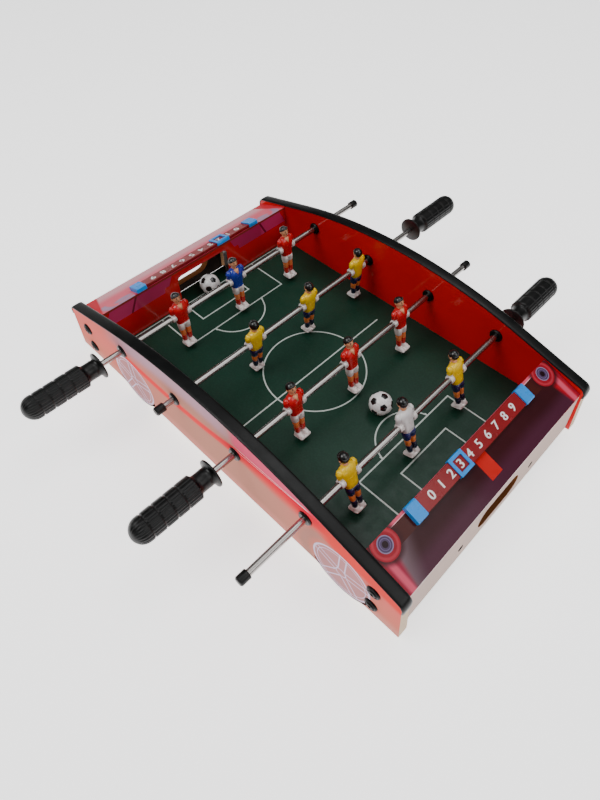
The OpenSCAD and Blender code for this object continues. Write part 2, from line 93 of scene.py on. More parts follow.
def make_lights():
    world = bpy.data.worlds.new("studio")
    bpy.context.scene.world = world
    world.use_nodes = True
    t = world.node_tree
    coord = t.nodes.new("ShaderNodeTexCoord")
    sep = t.nodes.new("ShaderNodeSeparateXYZ")
    ramp = t.nodes.new("ShaderNodeValToRGB")
    ramp.color_ramp.elements[0].position, ramp.color_ramp.elements[1].position = 0.0, 1.0
    for pos, _ in SKY[1:-1]:
        ramp.color_ramp.elements.new(pos)
    for e, (pos, v) in zip(ramp.color_ramp.elements, SKY):
        e.position, e.color = pos, (v, v, v, 1)
    half = t.nodes.new("ShaderNodeMath")
    half.operation = "MULTIPLY_ADD"
    half.inputs[1].default_value, half.inputs[2].default_value = 0.5, 0.5
    t.links.new(coord.outputs["Generated"], sep.inputs[0])
    t.links.new(sep.outputs["Z"], half.inputs[0])
    t.links.new(half.outputs[0], ramp.inputs[0])
    t.links.new(ramp.outputs[0], t.nodes["Background"].inputs["Color"])
    t.nodes["Background"].inputs["Strength"].default_value = SKY_STRENGTH
    for name, place, size, power in LAMPS:
        lamp = bpy.data.lights.new(name, "AREA")
        lamp.size, lamp.energy = size, power
        o = bpy.data.objects.new(name, lamp)
        o.location = place
        o.rotation_mode = "QUATERNION"
        o.rotation_quaternion = Vector(place).to_track_quat("Z", "Y")
        bpy.context.scene.collection.objects.link(o)


# ---------------------------------------------------------------- shader helpers

def rgb(text):
    """A hex colour as linear light."""
    v = [int(text[i:i + 2], 16) / 255 for i in (1, 3, 5)]
    return tuple(c / 12.92 if c <= 0.04045 else ((c + 0.055) / 1.055) ** 2.4 for c in v) + (1,)


class Value:
    """A shader socket that takes plain arithmetic."""
    def __init__(self, shader, out):
        self.s, self.out = shader, out

    def op(self, kind, *args):
        return self.s.math(kind, self, *args)

    def __add__(self, b): return self.op("ADD", b)
    __radd__ = __add__
    def __sub__(self, b): return self.op("SUBTRACT", b)
    def __rsub__(self, b): return self.s.math("SUBTRACT", b, self)
    def __mul__(self, b): return self.op("MULTIPLY", b)
    def __truediv__(self, b): return self.op("DIVIDE", b)
    def __abs__(self): return self.op("ABSOLUTE")
    def __lt__(self, b): return self.op("LESS_THAN", b)
    def __gt__(self, b): return self.op("GREATER_THAN", b)


class Shader:
    """A principled material that is built up from node arithmetic."""
    def __init__(self, name, rough=0.4, coat=0.0, metal=0.0, shine=0.5):
        self.mat = bpy.data.materials.new(name)
        self.mat.use_nodes = True
        self.t = self.mat.node_tree
        self.bsdf = self.t.nodes["Principled BSDF"]
        self.set("Roughness", rough)
        self.set("Metallic", metal)
        self.set("Coat Weight", coat)
        self.set("Coat Roughness", 0.08)
        self.set("Specular IOR Level", shine)
        self.coord = self.t.nodes.new("ShaderNodeTexCoord")

    def put(self, socket, value):
        if isinstance(value, Value):
            self.t.links.new(value.out, socket)
        else:
            socket.default_value = value

    def set(self, name, value):
        self.put(self.bsdf.inputs[name], value)

    def math(self, kind, a, b=None, c=None):
        n = self.t.nodes.new("ShaderNodeMath")
        n.operation = kind
        for i, v in enumerate((a, b, c)):
            if v is not None:
                self.put(n.inputs[i], v)
        return Value(self, n.outputs[0])

    def xyz(self):
        """The three coordinates, in millimetres."""
        n = self.t.nodes.new("ShaderNodeSeparateXYZ")
        self.t.links.new(self.coord.outputs["Object"], n.inputs[0])
        return [Value(self, n.outputs[i]) * 1000.0 for i in range(3)]

    def noise(self, scale, detail=3.0, rough=0.55, stretch=(1, 1, 1)):
        m = self.t.nodes.new("ShaderNodeMapping")
        m.inputs["Scale"].default_value = stretch
        self.t.links.new(self.coord.outputs["Object"], m.inputs["Vector"])
        n = self.t.nodes.new("ShaderNodeTexNoise")
        self.t.links.new(m.outputs[0], n.inputs["Vector"])
        n.inputs["Scale"].default_value = scale
        n.inputs["Detail"].default_value = detail
        n.inputs["Roughness"].default_value = rough
        return Value(self, n.outputs["Fac"])

    def ramp(self, v, lo, hi, a=0.0, b=1.0):
        n = self.t.nodes.new("ShaderNodeMapRange")
        n.interpolation_type = "SMOOTHSTEP"
        for name, x in (("Value", v), ("From Min", lo), ("From Max", hi),
                        ("To Min", a), ("To Max", b)):
            self.put(n.inputs[name], x)
        return Value(self, n.outputs["Result"])

    def mix(self, fac, a, b):
        n = self.t.nodes.new("ShaderNodeMix")
        n.data_type = "RGBA"
        self.put(n.inputs[0], fac)
        self.put(n.inputs[6], a)
        self.put(n.inputs[7], b)
        return Value(self, n.outputs[2])

    def color(self, value):
        self.set("Base Color", value)

    def bump(self, height, strength=0.2, distance=0.0002):
        n = self.t.nodes.new("ShaderNodeBump")
        n.inputs["Strength"].default_value = strength
        n.inputs["Distance"].default_value = distance
        self.put(n.inputs["Height"], height)
        self.t.links.new(n.outputs["Normal"], self.bsdf.inputs["Normal"])

    def band(self, v, centre, width):
        """1 where v is within half a width of the centre."""
        return abs(v - centre) < width / 2

    def any(self, *masks):
        """The largest of some masks."""
        out = masks[0]
        for m in masks[1:]:
            out = out.op("MAXIMUM", m)
        return out

    def hyp(self, a, b):
        return (a * a + b * b).op("SQRT")


def grey(v):
    return (v,) * 3 + (1,)


def plain(name, colour, rough=0.4, coat=0.0, metal=0.0, spread=0.12, scale=60.0, bump=0.08,
          grain=900.0, shine=0.5):
    """A moulded or painted surface with slight cloudiness, worn gloss and fine texture."""
    s = Shader(name, rough, coat, metal, shine)
    c = rgb(colour)
    dark = tuple(x * (1 - spread) for x in c[:3]) + (1,)
    light = tuple(min(1, x * (1 + spread)) for x in c[:3]) + (1,)
    s.color(s.mix(s.noise(scale, 4.0), dark, light))
    worn = s.noise(scale * 2.3, 3.0)
    s.set("Roughness", s.ramp(worn, 0.3, 0.7, max(0.02, rough - 0.06), rough + 0.07))
    s.bump(s.noise(grain, 2.0), bump, 0.00005)
    return s.mat


# ---------------------------------------------------------------- printed surfaces

FIELD = dict(circle=61.5, goal=198.0, deep=61.0, wide=77.0, small_deep=36.5, small_wide=39.0,
             arc_x=146.0, arc_r=40.0, half_y=115.5, tick_x=135.0, tick_y=39.0, tick_len=4.0)
CUT_X, CUT_Z = 222.7, 32.9                      # the field's cut ends and its underside


def field_material():
    s = Shader("field_print", 0.42, 0.03, shine=0.2)
    x, y, z = s.xyz()
    ax, ay = abs(x), abs(y)
    w = 1.7                                     # width of the printed lines

    def box_line(inner_x, half_y):
        d = (inner_x - ax).op("MAXIMUM", ay - half_y)
        return abs(d) < w / 2

    r = s.hyp(x, y)
    centre = s.any(s.band(r, FIELD["circle"], w), s.band(x, 0.0, w) * (ay < FIELD["half_y"]))
    in_play = ax < FIELD["goal"] + w / 2
    pen_x = FIELD["goal"] - FIELD["deep"]
    boxes = s.any(box_line(pen_x, FIELD["wide"]),
                  box_line(FIELD["goal"] - FIELD["small_deep"], FIELD["small_wide"]))
    goal_line = s.band(ax, FIELD["goal"], w)
    arc = s.band(s.hyp(ax - FIELD["arc_x"], y), FIELD["arc_r"], w) * (ax < pen_x)
    ticks = s.band(ay, FIELD["tick_y"], w) * s.band(ax, FIELD["tick_x"], FIELD["tick_len"])
    lines = s.any(centre, boxes * in_play, goal_line, arc, ticks)
    mottled = s.mix(s.noise(14.0, 5.0), rgb("#0d2a1f"), rgb("#15382a"))
    grassy = s.mix(s.ramp(s.noise(420.0, 2.0), 0.35, 0.75, 0.0, 0.35), mottled, rgb("#1b4232"))
    # painted shade: the green darkens towards the side walls
    edge = s.ramp(ay, 100.0, 150.0, 0.0, 0.55)
    green = s.mix(edge, grassy, rgb("#0a1c15"))
    cut = s.mix(s.noise(300.0, 2.0), rgb("#b4aaa0"), rgb("#d2c8bd"))
    printed = s.mix(lines, green, s.mix(s.noise(300.0, 2.0), rgb("#a9b6af"), rgb("#ccd6d0")))
    s.color(s.mix(s.any(ax > CUT_X, z < CUT_Z), printed, cut))
    s.set("Roughness", s.ramp(s.noise(90.0, 3.0), 0.3, 0.7, 0.3, 0.46))
    s.bump(s.noise(1400.0, 2.0), 0.12, 0.00004)
    return s.mat


def spoke_wheel(s, dx, dz, radius):
    """Lines of a plain five-spoked wheel."""
    r = s.hyp(dx, dz)
    angle = dz.op("ARCTAN2", dx) + 0.35
    fold = abs((angle / (2 * math.pi / 5)).op("FRACT") - 0.5) * (2 * math.pi / 5)
    across = fold.op("SINE") * r
    spoke = s.band(across, 4.0, 1.5) * (r < radius - 1.5) * (r > 7.0)
    return s.any(s.band(r, radius, 2.2), s.band(r, radius - 4.5, 0.8), s.band(r, 6.0, 1.4), spoke), r


def panel_material(turned):
    """Outer face: a printed sweep of coral, lilac and beige.
    Inner face: gloss red. Lower edge: bare board."""
    s = Shader("panel_print_far" if turned else "panel_print_near", 0.3, shine=0.0)
    x, y, z = s.xyz()
    if turned:
        x, y = x * -1.0, y * -1.0
    wobble = (s.noise(7.0, 3.0) - 0.5) * 14.0
    # base: beige towards the bottom, salmon above
    base = s.mix(s.ramp(z + wobble, 20.0, 74.0), rgb("#d97c6c"), rgb("#e8746c"))
    base = s.mix(s.ramp(abs(x - 20.0), 40.0, 240.0), rgb("#c28878"), base)
    base = s.mix(s.ramp(z, 14.0, 34.0), rgb("#d89084"), base)
    # lilac-grey field under the trim, left of the third rod
    top = z + x * x * 0.00078
    lilac = s.ramp(top + wobble * 0.5, 92.0, 112.0) * s.ramp(x, 60.0, 20.0)
    lilac = lilac * s.ramp(x, -190.0, -120.0)
    col = s.mix(lilac, base, rgb("#c49aa8"))
    # coral streak that rises from the rear wheel to the third rod, then widens to the front
    mid = 74.0 + s.ramp(x, -60.0, 120.0) * 22.0
    wide = 7.0 + s.ramp(x, 20.0, 110.0) * 16.0
    streak = s.ramp(abs(z - mid + wobble * 0.4) / wide, 1.25, 0.3)
    streak = streak * s.ramp(x, -175.0, -120.0)
    col = s.mix(streak, col, rgb("#ee4448"))
    hot = s.ramp(abs(z - mid - 4.0 + wobble * 0.5) / wide, 0.7, 0.1) * s.ramp(x, -40.0, 90.0)
    col = s.mix(hot * 0.8, col, rgb("#ee1c40"))
    # pink under the trim between the third and fourth rods, with two thin pale lines below it
    pink = s.ramp(z - 97.0 - wobble * 0.2, 0.0, 4.0) * s.ramp(x, 38.0, 52.0)
    pink = pink * s.ramp(x, 160.0, 138.0)
    col = s.mix(pink, col, rgb("#ea5c7c"))
    pale = s.any(s.band(z - 97.5 - (x - 60.0) * 0.03, 0.0, 1.0),
                 s.band(z - 93.0 - (x - 60.0) * 0.075, 0.0, 0.7))
    col = s.mix(pale * s.ramp(x, 40.0, 60.0) * s.ramp(x, 150.0, 140.0), col, rgb("#f4ccd4"))
    # grey-beige swirl over the front wheel
    dx, dz = x - WHEELS_X[0], z - WHEEL_Z
    swirl = s.ramp(abs(s.hyp(dx + 4.0, dz) - 43.0), 12.0, 2.0) * s.ramp(dx, 30.0, -20.0)
    col = s.mix(swirl * 0.75, col, rgb("#b08478"))
    front_band = s.ramp(abs(z - 84.0 - (x - 190.0) * -0.12), 17.0, 8.0) * s.ramp(x, 150.0, 175.0)
    col = s.mix(front_band, col, rgb("#ea4c46"))
    # the two wheels
    for cx in WHEELS_X:
        wx = x - cx
        inside = s.hyp(wx, dz) < 35.5
        col = s.mix(inside * 0.8, col, s.mix(s.noise(40.0, 3.0), rgb("#b8888c"), rgb("#c4969a")))
        lines, r = spoke_wheel(s, wx, dz, 34.0)
        col = s.mix(lines * 0.85, col, rgb("#e4d8f2"))
        col = s.mix((r > 35.6) * (z < 20.0) * (r < 38.0), col, rgb("#141414"))
    inner = s.mix(s.ramp(s.noise(5.0, 3.0), 0.3, 0.7), rgb("#c80d12"), rgb("#df1a1c"))
    out_face = y < -PANEL_OUT_Y
    in_face = y > -PANEL_IN_Y
    raw = s.mix(s.noise(700.0, 3.0), rgb("#c9ad93"), rgb("#e2cdb8"))
    body = s.mix(in_face, s.mix(out_face, raw, col), inner)
    s.color(body)
    s.set("Roughness", s.mix(s.any(out_face, in_face), grey(0.75), grey(0.35)))
    s.set("Coat Weight", in_face * 0.5)
    s.bump(s.noise(1100.0, 2.0), 0.06, 0.00004)
    return s.mat


def deck_axes(s, turned):
    """Distance across the deck, distance down its slope, and height over it."""
    x, y, z = s.xyz()
    if turned:
        x, y = x * -1.0, y * -1.0
    along, up = x - DECK_EDGE_X, z - DECK_EDGE_Z
    u = along * math.cos(DECK_TILT) - up * math.sin(DECK_TILT)
    h = along * math.sin(DECK_TILT) + up * math.cos(DECK_TILT)
    return y, u, h


def cut_edges(s, h, col):
    """The printed top, and red laminate where the deck is cut."""
    raw = s.mix(s.noise(600.0, 3.0), rgb("#8b2f2a"), rgb("#a33c33"))
    return s.mix(h > -0.2, raw, col)


def lamp_rings(s, col, u, y, cy):
    """A round lamp: a pink-red ring round a violet-grey middle."""
    r = s.hyp(u - LAMP_U, y - cy)
    halo = s.ramp(r, 21.0, 15.0)
    col = s.mix(halo * 0.9, col, rgb("#3a1418"))
    col = s.mix(r < 14.5, col, s.mix(s.noise(160.0, 4.0), rgb("#780c1a"), rgb("#b02030")))
    col = s.mix(s.ramp(abs(r - 12.0), 2.0, 0.3) * 0.5, col, rgb("#c8404e"))
    col = s.mix(r < 8.0, col, rgb("#4c3c58"))
    col = s.mix(s.band(r, 7.4, 1.0), col, rgb("#8a7898"))
    col = s.mix(s.band(r, 5.0, 0.8), col, rgb("#6a5880"))
    return s.mix(r < 3.0, col, rgb("#241018"))


def near_deck_material():
    s = Shader("near_deck_print", 0.2, 0.04, shine=0.12)
    y, u, h = deck_axes(s, False)
    cloud = s.mix(s.noise(16.0, 5.0), rgb("#2c1216"), rgb("#40181d"))
    col = s.mix(s.ramp(u + (s.noise(9.0) - 0.5) * 10.0, 30.0, 46.0), cloud, rgb("#4a2233"))
    corner = s.ramp(y + u * 0.45, -92.0, -122.0)
    col = s.mix(corner, col, rgb("#766068"))
    # long dark lane under the rail, from lamp to lamp
    lane = (abs(y) < 128.0) * (u < 19.0)
    col = s.mix(lane, col, s.mix(s.noise(30.0, 4.0), rgb("#3b1714"), rgb("#532420")))
    # painted highlight: a pink band with a thin pale-pink line along the deck's upper edge, at the
    # rail's inner edge
    col = s.mix((u < 3.2) * (abs(y) < 132.0), col, rgb("#e0546e"))
    col = s.mix(s.band(u, 3.0, 0.6) * (abs(y) < 120.0), col, rgb("#ffb9c2"))
    # red block in the middle
    block = (u > 17.0) * (u < 42.0) * (abs(y - 1.0) < 8.5)
    col = s.mix(block, col, s.mix(s.noise(25.0), rgb("#b81414"), rgb("#d02a24")))
    # arms running from the lamps to the outer corners
    for side, tone in ((-1.0, "#96203a"), (1.0, "#b01424")):
        t = y * side
        arm = s.ramp(abs(t - 137.0 - (u - 22.0) * 0.2), 11.0, 5.0) * s.ramp(u, 14.0, 24.0)
        col = s.mix(arm, col, s.mix(s.ramp(abs(t - 139.0), 1.5, 5.0), rgb("#d8506a"), rgb(tone)))
        col = s.mix(s.ramp(t - 143.0, 0.0, 2.0), col, rgb("#a02234"))
    for cy in (-LAMP_Y, LAMP_Y):
        col = lamp_rings(s, col, u, y, cy)
    s.color(cut_edges(s, h, col))
    s.set("Roughness", s.ramp(s.noise(50.0, 3.0), 0.3, 0.7, 0.1, 0.2))
    return s.mat


def far_deck_material():
    s = Shader("far_deck_print", 0.3, shine=0.05)
    y, u, h = deck_axes(s, True)
    col = s.mix(s.noise(9.0, 4.0), rgb("#e0566e"), rgb("#ee7c8a"))
    col = s.mix(s.ramp(u, 26.0, 44.0), col, rgb("#e3a3ab"))
    col = s.mix((u < 20.0) * (abs(y) < 88.0), col, rgb("#b23a4a"))
    col = s.mix(s.ramp(u, 7.0, 1.0) * (abs(y) < 100.0), col, rgb("#c7344f"))
    # a violet-grey hook at each outer corner
    for side in (-1.0, 1.0):
        t = y * side
        hook = s.any(
            s.ramp(abs(s.hyp(u - 16.0, t - 118.0) - 20.0), 6.0, 3.0) * (t > 118.0) * (u < 18.0),
            s.ramp(abs(u - 1.5), 5.0, 2.0) * (t > 100.0) * (t < 122.0))
        hook = s.any(hook, s.ramp(s.hyp((u - 10.0) * 1.4, (t - 112.0) * 0.55), 8.5, 5.0))
        col = s.mix(hook * 0.85, col, s.mix(s.noise(70.0, 4.0), rgb("#8a7896"), rgb("#b3a4bd")))
        col = s.mix(s.ramp(t + u * 0.3 - 143.0, 0.0, 3.0), col, rgb("#cf2f3c"))
    s.color(cut_edges(s, h, col))
    s.set("Roughness", s.ramp(s.noise(50.0, 3.0), 0.3, 0.7, 0.12, 0.24))
    return s.mat


def goal_wall_material(turned):
    """Gloss red, with slanted magenta panels printed along the top."""
    s = Shader("goal_wall_print_far" if turned else "goal_wall_print_near", 0.2, 0.5)
    x, y, z = s.xyz()
    ay = abs(y)
    red = s.mix(s.ramp(s.noise(6.0, 4.0), 0.3, 0.7), rgb("#d60f16"), rgb("#ec1d20"))
    # painted shade: the red darkens towards the foot of the wall
    red = s.mix(s.ramp(z, 60.0, 36.0) * 0.5, red, rgb("#a80a10"))
    t = ay + (z - 86.0) * 0.5
    strip = (z > 74.5 + s.ramp(ay, 60.0, 62.0) * -7.0) * (ay > 44.0)
    tone = s.mix(s.ramp(ay, 100.0, 104.0), rgb("#c22a62"), rgb("#d23a74"))
    tone = s.mix(s.band(t, 101.0, 3.0), tone, rgb("#7c1030"))
    col = s.mix(strip * (t > 48.0) * (t < 138.0), red, tone)
    glow = s.ramp(abs(z - 80.0 + y * 0.02), 4.0, 0.5) * (ay < 44.0)
    col = s.mix(glow * 0.6, col, rgb("#e23040"))
    behind = x * (-1.0 if turned else 1.0) < GOAL_WALL_FACE_X
    raw = s.mix(s.noise(500.0, 3.0), rgb("#2a1813"), rgb("#3a231b"))
    s.color(s.mix(behind, raw, col))
    s.set("Roughness", s.mix(behind, grey(0.7), grey(0.2)))
    return s.mat


def end_board_material():
    """Pale laminate outside, near-black painted shade on the faces inside the goal pocket, bare
    fibreboard round the ball hole.
    """
    s = Shader("end_board_laminate", 0.45, shine=0.0)
    x, y, z = s.xyz()
    pale = s.mix(s.noise(8.0, 4.0), rgb("#c0a9a0"), rgb("#cdb9b0"))
    raw = s.mix(s.noise(420.0, 4.0, 0.7), rgb("#57331d"), rgb("#7d4f2f"))
    # painted shade: near-black for every face but the outer one, for the shade inside the goal pocket
    black = s.mix(s.noise(90.0, 3.0), rgb("#0c0a09"), rgb("#1a1614"))
    hole = s.hyp((abs(y) - BALL_HOLE_HALF).op("MAXIMUM", 0.0), z - BALL_HOLE_Z) < BALL_HOLE_R
    inside = abs(x) + z * 0.05 < 253.3
    s.color(s.mix(hole, s.mix(inside, pale, black), raw))
    s.set("Roughness", s.ramp(s.noise(70.0, 3.0), 0.3, 0.7, 0.32, 0.5))
    s.bump(s.noise(900.0, 3.0), 0.15, 0.00006)
    return s.mat


def board_material():
    """Bare fibreboard of the hidden blocks."""
    s = Shader("bare_board", 0.8)
    speck = s.noise(800.0, 4.0, 0.8)
    s.color(s.mix(s.ramp(speck, 0.35, 0.7), rgb("#6b4a2e"), rgb("#a67c52")))
    s.bump(speck, 0.35, 0.0001)
    return s.mat


def rail_material():
    s = Shader("rail_red", 0.24, 0.08, shine=0.3)
    base = s.mix(s.noise(40.0, 4.0), rgb("#7c1216"), rgb("#931c22"))
    s.color(s.mix(s.ramp(s.noise(220.0, 3.0), 0.55, 0.8, 0.0, 0.3), base, rgb("#6e1418")))
    s.set("Roughness", s.ramp(s.noise(60.0, 3.0), 0.3, 0.7, 0.16, 0.28))
    return s.mat


def chrome_material():
    s = Shader("rod_chrome", 0.12, metal=1.0)
    streak = s.noise(300.0, 3.0, 0.6, (1, 0.03, 1))
    s.color(s.mix(streak, rgb("#868280"), rgb("#bcb8b4")))
    s.set("Roughness", s.ramp(streak, 0.3, 0.7, 0.2, 0.3))
    s.bump(streak, 0.02, 0.00001)
    return s.mat


# ---------------------------------------------------------------- mesh helpers

def to_mesh(name, bm, mats):
    me = bpy.data.meshes.new(name)
    bm.to_mesh(me)
    bm.free()
    for m in mats:
        me.materials.append(m)
    return me


def new_object(name, bm, mats, body, cad=(), smooth=True, place=None):
    bmesh.ops.recalc_face_normals(bm, faces=bm.faces)
    add_mesh(name, to_mesh(name, bm, mats), body, cad, smooth, place)


def add_mesh(name, me, body, cad=(), smooth=True, place=None):
    """Puts a mesh in the scene on its body, in the place of CAD nodes."""
    o = bpy.data.objects.new(name, me)
    for p in me.polygons:
        p.use_smooth = smooth
    bpy.context.scene.collection.objects.link(o)
    if place is not None:
        o.matrix_world = place
    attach(o, body)
    if cad:
        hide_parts(*cad)


def ring(bm, points):
    return [bm.verts.new(Vector(p) * MM) for p in points]


def skin(bm, rings, mat=0):
    """Faces between closed rings of the same length, with both ends capped."""
    made = []
    n = len(rings[0])
    for a, b in zip(rings, rings[1:]):
        for i in range(n):
            made.append(bm.faces.new((a[i], a[(i + 1) % n], b[(i + 1) % n], b[i])))
    made.append(bm.faces.new(rings[0][::-1]))
    made.append(bm.faces.new(rings[-1]))
    for f in made:
        f.material_index = mat


def oval(centre, rx, ry, n, power):
    """A horizontal superellipse ring."""
    pts = []
    for i in range(n):
        a = 2 * math.pi * i / n
        c, s = math.cos(a), math.sin(a)
        x = rx * math.copysign(abs(c) ** (2 / power), c)
        y = ry * math.copysign(abs(s) ** (2 / power), s)
        pts.append((centre[0] + x, centre[1] + y, centre[2]))
    return pts


def loft(bm, sections, mat, n=20, power=2.3):
    """A solid through oval sections, each a centre and two half widths."""
    skin(bm, [ring(bm, oval(c, rx, ry, n, power)) for c, rx, ry in sections], mat)


def tube(bm, path, mat, n=14):
    """A round tube through points (x, y, z, radius)."""
    rings = []
    for i, p in enumerate(path):
        a = Vector(path[max(i - 1, 0)][:3])
        b = Vector(path[min(i + 1, len(path) - 1)][:3])
        q = (b - a).to_track_quat("Z", "Y")
        c = Vector(p[:3])
        rings.append(ring(bm, [c + q @ Vector((p[3] * math.cos(t), p[3] * math.sin(t), 0))
                               for t in (2 * math.pi * k / n for k in range(n))]))
    skin(bm, rings, mat)


def ball_mesh(bm, centre, radii, mat, u, v, keep=None):
    """An ellipsoid, of which only the faces that keep() accepts are left."""
    m = Matrix.Translation(Vector(centre) * MM) @ Matrix.Diagonal((*[r * MM for r in radii], 1))
    made = bmesh.ops.create_uvsphere(bm, u_segments=u, v_segments=v, radius=1.0, matrix=m)
    faces = {f for w in made["verts"] for f in w.link_faces}
    for f in faces:
        f.material_index = mat
    if keep:
        drop = [f for f in faces if not keep(f.calc_center_median() / MM)]
        bmesh.ops.delete(bm, geom=drop, context="FACES")


# ---------------------------------------------------------------- players

def player_mesh(name, mats):
    """A plain figurine round its rod, facing +X. The mesh's origin is the rod's axis."""
    SHIRT, SKIN, HAIR, SHORTS, SOCKS, WHITE, THIGH, DARK = range(8)
    bm = bmesh.new()
    # shirt
    loft(bm, [((0, 0, -10.6), 4.6, 6.6), ((0, 0, -10.2), 5.2, 7.4), ((0.1, 0, -6), 5.5, 7.9),
              ((0.2, 0, 0), 5.7, 8.3), ((0.5, 0, 4), 6.2, 9.3), ((0.6, 0, 8), 6.5, 10.2),
              ((0.3, 0, 11.5), 5.9, 10.3), ((0, 0, 14), 4.9, 8.6), ((-0.2, 0, 15.8), 3.9, 5.6),
              ((-0.2, 0, 16.4), 3.2, 3.9)], SHIRT, 28, 2.5)
    # folds across the belly and hem
    for z, rx, ry in ((-9.6, 5.5, 7.8), (3.1, 6.15, 9.2)):
        loft(bm, [((0.2, 0, z - 0.7), rx - 0.5, ry - 0.5), ((0.2, 0, z), rx, ry),
                  ((0.2, 0, z + 0.7), rx - 0.5, ry - 0.5)], SHIRT, 28, 2.5)
    for s in (-1, 1):
        # sleeve, cuff, forearm and fist on the rod
        tube(bm, [(0, s * 7.0, 14.0, 2.4), (0.1, s * 8.8, 13.2, 3.4), (0.2, s * 10.2, 10.8, 3.3),
                  (0.2, s * 10.3, 8.0, 3.1), (0.3, s * 10.2, 5.6, 2.9)], SHIRT)
        tube(bm, [(0.3, s * 10.2, 5.9, 3.05), (0.3, s * 10.2, 5.0, 3.05)], WHITE)
        tube(bm, [(0.3, s * 10.2, 5.4, 2.6), (0.4, s * 10.4, 3.6, 2.7),
                  (0.3, s * 10.6, 2.2, 2.9)], WHITE)
        tube(bm, [(0, s * 8.0, 0, 4.2), (0, s * 8.6, 0, 4.9), (0, s * 12.2, 0, 4.9),
                  (0, s * 13.1, 0, 4.4), (0, s * 13.2, 0, 3.4)], WHITE, 18)
        for k in range(4):
            finger = (4.3 - 0.5 * abs(k - 1.5), s * (9.2 + k * 1.15), 0.9)
            ball_mesh(bm, finger, (1.3, 0.62, 2.2), WHITE, 8, 6)
        # leg of the shorts, thigh, sock, shoe
        loft(bm, [((0, s * 3.9, -20.6), 3.8, 3.5), ((0, s * 3.9, -20.0), 4.3, 3.8),
                  ((0, s * 3.8, -15), 5.0, 3.9), ((0, s * 3.6, -11), 5.1, 3.8)], SHORTS, 18, 2.4)
        loft(bm, [((0.1, s * 3.7, -30.5), 3.0, 2.7), ((0.2, s * 3.8, -28), 3.2, 3.0),
                  ((0, s * 3.9, -24), 3.5, 3.3), ((0, s * 3.9, -19.8), 3.6, 3.3)], THIGH, 16)
        loft(bm, [((-0.2, s * 3.7, -40.5), 2.5, 2.4), ((-0.4, s * 3.7, -35.5), 3.3, 2.9),
                  ((-0.2, s * 3.7, -32.0), 3.3, 3.0), ((0, s * 3.7, -30.6), 3.4, 3.1),
                  ((0, s * 3.7, -29.6), 3.4, 3.1), ((0, s * 3.7, -29.3), 2.8, 2.6)], SOCKS, 16)
        loft(bm, [((1.4, s * 3.75, -44.4), 6.6, 3.35), ((1.5, s * 3.75, -42.2), 6.9, 3.5),
                  ((0.8, s * 3.7, -40.6), 5.4, 3.3), ((-0.6, s * 3.7, -39.2), 3.6, 2.9),
                  ((-0.8, s * 3.7, -38.4), 3.2, 2.7)], WHITE, 20, 2.5)
        # ear and eye
        ball_mesh(bm, (-0.4, s * 5.2, 24.2), (1.1, 0.7, 1.5), SKIN, 10, 8)
        ball_mesh(bm, (5.0, s * 1.9, 25.3), (0.5, 0.75, 0.5), DARK, 8, 6)
        ball_mesh(bm, (5.05, s * 2.0, 26.7), (0.5, 1.1, 0.28), HAIR, 8, 6)
    # block that joins the shoes
    loft(bm, [((1.7, 0, -44.5), 6.7, 7.2), ((1.7, 0, -44.2), 6.8, 7.3), ((1.7, 0, -42.8), 6.8, 7.3),
              ((1.6, 0, -42.4), 6.4, 6.9)], WHITE, 28, 7.0)
    # waistband
    loft(bm, [((0, 0, -14), 5.0, 7.4), ((0, 0, -10.4), 5.3, 7.6)], SHORTS, 24, 2.5)
    # neck, open collar, head and face
    tube(bm, [(-0.2, 0, 13.5, 3.1), (-0.2, 0, 17, 3.0), (0.1, 0, 20.2, 2.8)], SKIN)
    collar = [(4.0, -3.3, 16.0), (4.9, 0, 16.6), (4.0, 3.3, 16.0),
              (6.6, 1.1, 11.6), (7.1, 0, 9.6), (6.6, -1.1, 11.6)]
    back = [(x - 2.4, y, z) for x, y, z in collar]
    skin(bm, [ring(bm, back), ring(bm, collar)], SKIN)
    ball_mesh(bm, (0.2, 0, 24.4), (5.4, 5.0, 6.2), SKIN, 24, 16)
    ball_mesh(bm, (3.2, 0, 20.8), (2.1, 2.6, 1.9), SKIN, 12, 8)
    ball_mesh(bm, (5.6, 0, 23.6), (0.8, 0.75, 1.2), SKIN, 10, 8)
    ball_mesh(bm, (5.0, 0, 21.4), (0.4, 1.3, 0.3), DARK, 8, 6)
    ball_mesh(bm, (-0.3, 0, 25.0), (5.8, 5.5, 5.75), HAIR, 28, 20,
              lambda c: c.z > 23.4 + 0.75 * (c.x + 1.5) if c.x > -3.2 else c.z > 20.6)
    # locks round the forehead
    for k in range(7):
        a = math.radians(-60 + 20 * k)
        ball_mesh(bm, (4.1 * math.cos(a) - 0.4, 4.3 * math.sin(a), 28.2), (1.5, 1.3, 1.1), HAIR, 8, 6)
    return to_mesh(name, bm, mats)


def team(name, shirt, shorts, socks, thigh):
    kit = [plain(name + "_shirt", shirt, 0.24, 0.4, spread=0.08), SHARED["skin"], SHARED["hair"],
           plain(name + "_shorts", shorts, 0.28, 0.3, spread=0.06),
           plain(name + "_socks", socks, 0.28, 0.3),
           SHARED["white"], plain(name + "_thigh", thigh, 0.3, 0.3), SHARED["dark"]]
    return player_mesh(name + "_player", kit)


# one value for each of the four rods
FACING = (1, -1, 1, -1)
HANDLE_SIDE = (-1, 1, -1, 1)
LEAN = (-6, 0, -11, -20)                        # degrees that the players lean at rest
GRIP_TURN = (35, 20, 35, -10)                   # degrees that the grips are turned at rest
REST = [JOINTS["rod_%d_turn" % (i + 1)]["pos_m"][1] / MM for i in range(4)]
PLAYER_SHIFT = 14.0                             # the middle player, from the rod's own middle
GRIP_START = 209.5                              # the grip's flange, from the rod's own middle


